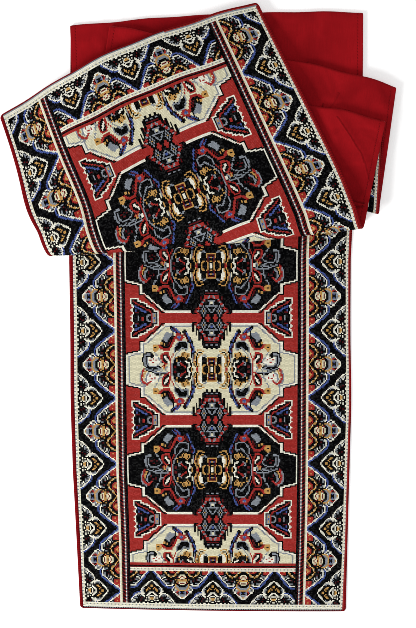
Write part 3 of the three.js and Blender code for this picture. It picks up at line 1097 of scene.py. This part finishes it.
def all_creases(side, along):
    total = None
    for panel, strength, places in SHARP_CREASES:
        path = [flat_place(panel, place) for place in places]
        for start, end in zip(path[:-1], path[1:]):
            mark = crease_mark(side, along, start, end) * strength
            total = mark if total is None else total.math("MAXIMUM", mark)
    return total


print(len(SHARP_CREASES), "sharp creases")

# %% Lining material
MAP_SHARE = 0.98
RIM_BAND = 4.4
PATCHES = {"Scale": 0.022, "Detail": 2.0, "Distortion": 0.5}
PATCH_COLOURS = [(0.35, (0.225, 0.0036, 0.0062)), (0.65, (0.30, 0.0052, 0.0085))]
SLUBS = {"Scale": 1.0, "Detail": 2.0}
SLUB_STRETCH = (1.6, 0.06, 1)
RIB_TURNS, THREAD_TURNS = 2.6, 7.9
PLAIN_LIGHT, TOP_LIGHT = 0.96, 1.25
# How much each mark brightens or darkens the colour: slubs and threads are the cotton's own tone, and the
# seam, its holes and the creases are painted shade.
TONE_AND_SHADE = dict(slubs=0.35, threads=0.05, rim=0.3, ribs=0.16, seam=0.05, holes=0.22, creases=0.08)
RELIEF = dict(patches=4.5, slubs=0.12, threads=0.04, ribs=0.25, seam=0.12, holes=0.3, creases=0.55)


def lining_material():
    """The map's first half is the upper side of the lining and its second half the back."""
    shader = Shader("lining_cotton")
    place = shader.node("ShaderNodeUVMap", {"uv_map": "OFBake"})["UV"]
    place = shader.node("ShaderNodeSeparateXYZ", None, {0: place})
    side, along = place["X"] * (2 * CLOTH_WIDTH), place["Y"] * (CLOTH_LENGTH / MAP_SHARE)
    across = triangle(side, CLOTH_WIDTH)
    edge = triangle(across, CLOTH_WIDTH / 2).math("MINIMUM", triangle(along, CLOTH_LENGTH / 2))
    back = side.math("GREATER_THAN", CLOTH_WIDTH)
    rim = edge.math("LESS_THAN", RIM_BAND) * (1 - back)
    seam = band(edge, SEAM_INSIDE, SEAM_HALF) * back

    flat = shader.node("ShaderNodeCombineXYZ", None, {"X": side, "Y": along})["Vector"]
    patches = shader.node("ShaderNodeTexNoise", None, {"Vector": flat, **PATCHES})["Fac"]
    drawn = shader.node("ShaderNodeVectorMath", {"operation": "MULTIPLY"}, {0: flat, 1: SLUB_STRETCH})
    slubs = shader.node("ShaderNodeTexNoise", None, {"Vector": drawn["Vector"], **SLUBS})["Fac"]
    ribs = (along * RIB_TURNS).math("SINE") * rim
    threads = (side * THREAD_TURNS).math("SINE") * (along * THREAD_TURNS).math("SINE")
    holes = ((side + along) * (2 * math.pi / STITCH_PITCH)).math("SINE").math("MAXIMUM", 0) * seam

    creases = all_creases(side, along)
    # Painted shade: the seam line, its needle holes and the creases darken the colour. The rim is darker
    # and ribbed, and the slubs and threads are the cotton's own tone.
    light = PLAIN_LIGHT + (slubs - 0.5) * TONE_AND_SHADE["slubs"] + threads * TONE_AND_SHADE["threads"]
    light = light - rim * TONE_AND_SHADE["rim"] + ribs * TONE_AND_SHADE["ribs"]
    light = light - seam * TONE_AND_SHADE["seam"] - holes * TONE_AND_SHADE["holes"] - creases * TONE_AND_SHADE["creases"]
    colour = shader.shade(shader.ramp(patches, PATCH_COLOURS), light, TOP_LIGHT)
    height = patches * RELIEF["patches"] + slubs * RELIEF["slubs"] + threads * RELIEF["threads"]
    height = height + ribs * RELIEF["ribs"] - seam * RELIEF["seam"] - holes * RELIEF["holes"]
    height = height + creases * RELIEF["creases"]
    bump = shader.node("ShaderNodeBump", None, {"Strength": 1.0, "Distance": 0.001, "Height": height})
    return shader.finish(
        Base_Color=colour, Roughness=0.85, Sheen_Weight=0.03, Sheen_Roughness=0.5,
        Sheen_Tint=(0.9, 0.2, 0.2, 1), Specular_IOR_Level=0.04, Normal=bump["Normal"],
    )


lining_cotton = lining_material()
print("lining material has", len(lining_cotton.node_tree.nodes), "nodes")

# %% [markdown]
# ## Face cloth
# The real face is one long strip. It could be a plain sheet with the pattern in an image, but
# here each stitch is a mesh face of its own that carries its yarn, so the pattern stays sharp.
# One mesh would have over half a million triangles, so the face is woven in four lengths that
# meet without a seam.


# %% Meshes from grids
def mesh_piece(name, points, faces, material, uvs=None, per_face=None):
    """A piece from points in millimetres. Blender itself works in metres."""
    mesh = bpy.data.meshes.new(name)
    mesh.from_pydata((points / 1000).tolist(), [], faces.tolist())
    if uvs is not None:
        layer = mesh.uv_layers.new(name="OFBake")
        layer.data.foreach_set("uv", uvs.astype(np.float32).ravel())
    for attribute, values in (per_face or {}).items():
        data = mesh.attributes.new(attribute, "FLOAT", "FACE").data
        data.foreach_set("value", values.astype(np.float32).ravel())
    mesh.polygons.foreach_set("use_smooth", np.ones(len(faces), bool))
    mesh.materials.append(material)
    mesh.update()
    piece = bpy.data.objects.new(name, mesh)
    bpy.context.scene.collection.objects.link(piece)
    return piece


def quads(rows, columns):
    """The faces of a grid of points, row by row."""
    corner = (np.arange(rows - 1)[:, None] * columns + np.arange(columns - 1)).ravel()
    return np.stack([corner, corner + 1, corner + columns + 1, corner + columns], axis=1)


print("mesh helpers ready")

# %% Weave the four lengths
RIM_GAP = 0.3
FACE_LEFT = LEFT_RIM + RIM_GAP
FACE_RIGHT = CLOTH_WIDTH - RIGHT_RIM - RIM_GAP
FACE_START = END_RIM + RIM_GAP
ROLL_OVER, EDGE_SINK = 0.35, 0.25
dice = np.random.default_rng(7)


def face_edges():
    """Places across the face and how deep each lies: both sides are turned down a little."""
    middle = np.arange(math.ceil(FACE_LEFT / STITCH_WIDTH + 0.5), int(FACE_RIGHT / STITCH_WIDTH) + 1)
    across = np.concatenate([
        [FACE_LEFT, FACE_LEFT, FACE_LEFT + ROLL_OVER], middle * STITCH_WIDTH,
        [FACE_RIGHT - ROLL_OVER, FACE_RIGHT, FACE_RIGHT],
    ])
    turned = [FACE_THICKNESS, EDGE_SINK]
    return across, np.concatenate([turned, np.zeros(len(middle) + 2), turned[::-1]])


def weave_length(number):
    first, last = (STITCHES_ALONG * n // LENGTHS for n in (number, number + 1))
    along = np.arange(first, last + 1) * STITCH_LENGTH
    down = np.zeros(len(along))
    if number == 0:
        along = np.concatenate([[FACE_START] * 2, [FACE_START + ROLL_OVER], along[2:]])
        down = np.zeros(len(along))
        down[:2] = FACE_THICKNESS, EDGE_SINK
    if number == LENGTHS - 1:
        end = CLOTH_LENGTH - FACE_START
        along = np.concatenate([along[:-2], [end - ROLL_OVER], [end] * 2])
        down = np.zeros(len(along))
        down[-2:] = EDGE_SINK, FACE_THICKNESS
    across, sunk = face_edges()
    points, normals = lay(across, along)
    depth = HALF_THICKNESS - np.maximum(down[:, None], sunk)
    points = points + normals * depth[..., None]
    rows = np.clip(((along[1:] + along[:-1]) / 2 / STITCH_LENGTH).astype(int), 0, STITCHES_ALONG - 1)
    columns = ((across[1:] + across[:-1]) / 2 / STITCH_WIDTH).astype(int)
    yarns = yarn_chart[rows[:, None], columns[None]]
    side = CLOTH_LENGTH / LENGTHS
    uv = np.stack(np.meshgrid(across / side, (along - along[0]) / side), axis=2)
    faces = quads(len(along), len(across))
    return mesh_piece(
        f"face_cloth_{number + 1}", points.reshape(-1, 3), faces, face_cloth,
        uv.reshape(-1, 2)[faces], {"yarn": yarns, "tone": dice.random(yarns.shape)},
    )


lengths = [weave_length(number) for number in range(LENGTHS)]
for piece in lengths:
    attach(piece, "root")
    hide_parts("face_panel")
print([(piece.name, len(piece.data.polygons)) for piece in lengths])

# %% [markdown]
# ## Lining
# The lining turns up round the face, so it is thicker at its edge than in its middle. A Solidify
# modifier gives a sheet one thickness, so the closed sheet is built from sections that are
# joined in a row instead. Each section has an upper side, which runs over the rim, down beside
# the face and on under it, and a lower side with as many points.


# %% Lining sheet
LINING_COLUMNS = 66
RIM_OVER = [(0.0, 0.35), (0.45, 0.98), (1.3, 1.25)]
RIM_UNDER = [(0.0, -0.6), (0.5, -1.2), (1.3, -1.2)]
END_TOPS = [(0.0, 0.35, -0.6), (0.35, 0.98, -1.2), (END_RIM, 1.2, -1.2)]
END_STEP, END_ZONE = 0.2, 2.5
CAP_ROWS = 0.985, 0.99
INNER_MARGIN = 4.0
RIM_FOOT = 0.15
RIM_INSIDE, UNDER_FACE = 1.1, -0.2


def lining_sections():
    """Places across the cloth and heights of the upper and the lower side of a section."""
    right = CLOTH_WIDTH - RIGHT_RIM
    inner = np.linspace(LEFT_RIM + INNER_MARGIN, right - INNER_MARGIN, LINING_COLUMNS)
    over = RIM_OVER + [(LEFT_RIM, RIM_INSIDE), (LEFT_RIM + RIM_FOOT, UNDER_FACE)]
    over += [(x, UNDER_FACE) for x in inner]
    over += [(right - RIM_FOOT, UNDER_FACE), (right, RIM_INSIDE)]
    over += [(CLOTH_WIDTH - x, z) for x, z in RIM_OVER[::-1]]
    under = RIM_UNDER + [(x, -HALF_THICKNESS) for x, _ in over[3:-3]]
    under += [(CLOTH_WIDTH - x, z) for x, z in RIM_UNDER[::-1]]
    return np.array(over), np.array(under)


def lining_rows():
    """Places along the lining: the strip's own rows, and closer ones at both ends."""
    ends = np.array([place for place, _, _ in END_TOPS] + [END_RIM + END_STEP])
    ends = np.repeat(ends[:, None], len(PLACES), axis=1)
    inner = (along_strip.min(axis=1) > END_ZONE) & (along_strip.max(axis=1) < CLOTH_LENGTH - END_ZONE)
    return np.concatenate([ends, along_strip[inner], CLOTH_LENGTH - ends[::-1]])


def lining_points(over, under, along):
    """Points round each section. The sections at both ends are raised to form the end rims."""
    sides = []
    for number, side in enumerate((over, under)):
        points, normals = lay(side[:, 0], along)
        height = np.repeat(side[None, :, 1], len(along), axis=0)
        for row, (_, top, bottom) in enumerate(END_TOPS):
            for end in (row, -1 - row):
                if number == 0:
                    height[end] = np.where(side[:, 1] < 0, top, np.minimum(side[:, 1], top))
                else:
                    height[end] = np.maximum(side[:, 1], bottom)
        sides.append(points + normals * height[..., None])
    return np.concatenate([sides[0], sides[1][:, ::-1]], axis=1)


def lining_piece():
    """The map of the lining is its flat cloth: the upper side on the left, the lower on the right."""
    over, under = lining_sections()
    along = lining_rows()
    points = lining_points(over, under, along)
    ring = points.shape[1]
    faces = quads(len(along), ring + 1)
    u = np.concatenate([over[:, 0], 2 * CLOTH_WIDTH - under[::-1, 0], [2 * CLOTH_WIDTH]])
    u[len(over) - 1] = CLOTH_WIDTH
    v = along.mean(axis=1) / CLOTH_LENGTH * MAP_SHARE
    maps = np.stack(np.meshgrid(u / (2 * CLOTH_WIDTH), v), axis=2).reshape(-1, 2)[faces]
    faces = faces // (ring + 1) * ring + faces % (ring + 1) % ring
    cap = np.arange(len(over) - 1)
    cap = np.stack([cap, ring - 1 - cap, ring - 2 - cap, cap + 1], axis=1)
    last = (len(along) - 1) * ring
    place = over[:, 0] / (2 * CLOTH_WIDTH)
    low, high = (np.full(len(cap), v) for v in CAP_ROWS)
    near = np.stack([place[:-1], low, place[:-1], high, place[1:], high, place[1:], low], axis=1)
    near = near.reshape(-1, 4, 2)
    far = near[:, ::-1] + (0.5, 0)
    faces = np.concatenate([faces, cap, cap[:, ::-1] + last])
    maps = np.concatenate([maps, near, far])
    return mesh_piece("lining_cloth", points.reshape(-1, 3), faces, lining_cotton, maps)


lining = lining_piece()
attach(lining, "root")
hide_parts("lining_panel")
print("lining has", len(lining.data.polygons), "faces")

# %% [markdown]
# ## Hem stitches
# The turned edges are held by a row of short stitches through the lining, a little inside its
# edge. Each is a small spindle that lies on the back of the cloth. An Array modifier could
# repeat one along a curve, but here each is laid by the same function as the cloth, so the row
# follows every fold.

# %% Stitches
THREAD = dict(length=2.3, wide=0.8, high=0.35, lift=0.02)
SEAM_START = 2.0
PROBE = 0.5


def seam_places():
    """Middle of each stitch on the flat cloth, and whether it runs across the cloth."""
    along = np.arange(SEAM_INSIDE + SEAM_START, CLOTH_LENGTH - SEAM_INSIDE, STITCH_PITCH)
    across = np.arange(SEAM_INSIDE + SEAM_START, CLOTH_WIDTH - SEAM_INSIDE, STITCH_PITCH)
    places = [(x, y, False) for x in (SEAM_INSIDE, CLOTH_WIDTH - SEAM_INSIDE) for y in along]
    places += [(x, y, True) for y in (SEAM_INSIDE, CLOTH_LENGTH - SEAM_INSIDE) for x in across]
    return places


def stitches_piece():
    rows = {}
    for x, y, crosswise in seam_places():
        rows.setdefault(round(y, 3), []).append((x, crosswise))
    points, faces = [], []
    for y, row in rows.items():
        across = np.array([x for x, _ in row])
        along = np.clip([y - PROBE, y, y + PROBE], 0, CLOTH_LENGTH)
        laid, normals = lay(across, along)
        for number, (_, crosswise) in enumerate(row):
            middle, up = laid[1, number], -normals[1, number]
            ahead = unit(laid[2, number] - laid[0, number])
            side = np.cross(up, ahead)
            run, wide = (side, ahead) if crosswise else (ahead, side)
            middle = middle + up * (HALF_THICKNESS + THREAD["lift"])
            first = len(points)
            points += [middle + run * THREAD["length"] / 2, middle - run * THREAD["length"] / 2]
            for turn in range(4):
                angle = math.pi / 2 * turn
                out = wide * math.cos(angle) * THREAD["wide"] / 2
                out = out + up * math.sin(angle) * THREAD["high"] / 2
                points.append(middle + out)
            for turn in range(4):
                a, b = first + 2 + turn, first + 2 + (turn + 1) % 4
                faces += [(first, a, b), (first + 1, b, a)]
    points = np.array(points)
    points[:, 2] = np.maximum(points[:, 2], 0)
    return mesh_piece("hem_stitches", points, np.array(faces), lining_cotton)


stitches = stitches_piece()
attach(stitches, "root")
print("stitches have", len(stitches.data.polygons), "faces")

# %% [markdown]
# ## Table, light and camera
# The runner lies on a plain pale floor. A soft lamp at the near left brings out the folds, and a
# larger one above fills the shadows. The camera is above the runner, a little towards its folded
# end, and looks down at its middle.


# %% Floor
FLOOR_HALF = 3000.0


def floor_piece():
    shader = Shader("pale_floor")
    material = shader.finish(
        Base_Color=(0.84, 0.84, 0.84, 1), Roughness=0.9, Emission_Color=(1, 1, 1, 1),
        Emission_Strength=0.3,
    )
    corners = np.array([(-1, -1, 0), (1, -1, 0), (1, 1, 0), (-1, 1, 0)]) * FLOOR_HALF
    return mesh_piece("floor", corners, np.array([[0, 1, 2, 3]]), material)


floor = floor_piece()
print("floor is", 2 * FLOOR_HALF / 1000, "metres wide")


# %% Lights
def soft_light(name, place, size, power):
    data = bpy.data.lights.new(name, "AREA")
    data.size = size
    data.energy = power
    lamp = bpy.data.objects.new(name, data)
    lamp.location = place
    lamp.rotation_euler = (-Vector(place)).to_track_quat("-Z", "Y").to_euler()
    bpy.context.scene.collection.objects.link(lamp)
    return lamp


lamps = [
    soft_light("window", (-1.7, -1.2, 1.5), 0.9, 62), soft_light("ceiling", (0.3, 0.4, 2.6), 2.5, 16),
]
world = bpy.data.worlds.new("studio")
bpy.context.scene.world = world
world.use_nodes = True
world.node_tree.nodes["Background"].inputs["Color"].default_value = (1, 1, 1, 1)
world.node_tree.nodes["Background"].inputs["Strength"].default_value = 0.5
bpy.context.scene.view_settings.view_transform = "Standard"
PIXEL_FILTER = 0.8
bpy.context.scene.cycles.filter_width = PIXEL_FILTER
bpy.context.scene.render.filter_size = PIXEL_FILTER
print("lamps:", [lamp.name for lamp in lamps])

# %% Camera
CAMERA_TILT = math.radians(8.23)
CAMERA_DISTANCE = 1.158
SENSOR = 36.0
FOCAL_PIXELS, PICTURE_PIXELS = 984.1, 628
LENS = FOCAL_PIXELS / PICTURE_PIXELS * SENSOR
data = bpy.data.cameras.new("camera")
data.lens, data.sensor_width = LENS, SENSOR
camera = bpy.data.objects.new("camera", data)
camera.location = (0, CAMERA_DISTANCE * math.sin(CAMERA_TILT), CAMERA_DISTANCE * math.cos(CAMERA_TILT))
camera.rotation_euler = (-CAMERA_TILT, 0, 0)
bpy.context.scene.collection.objects.link(camera)
bpy.context.scene.camera = camera
print("lens", round(LENS, 2), "mm")
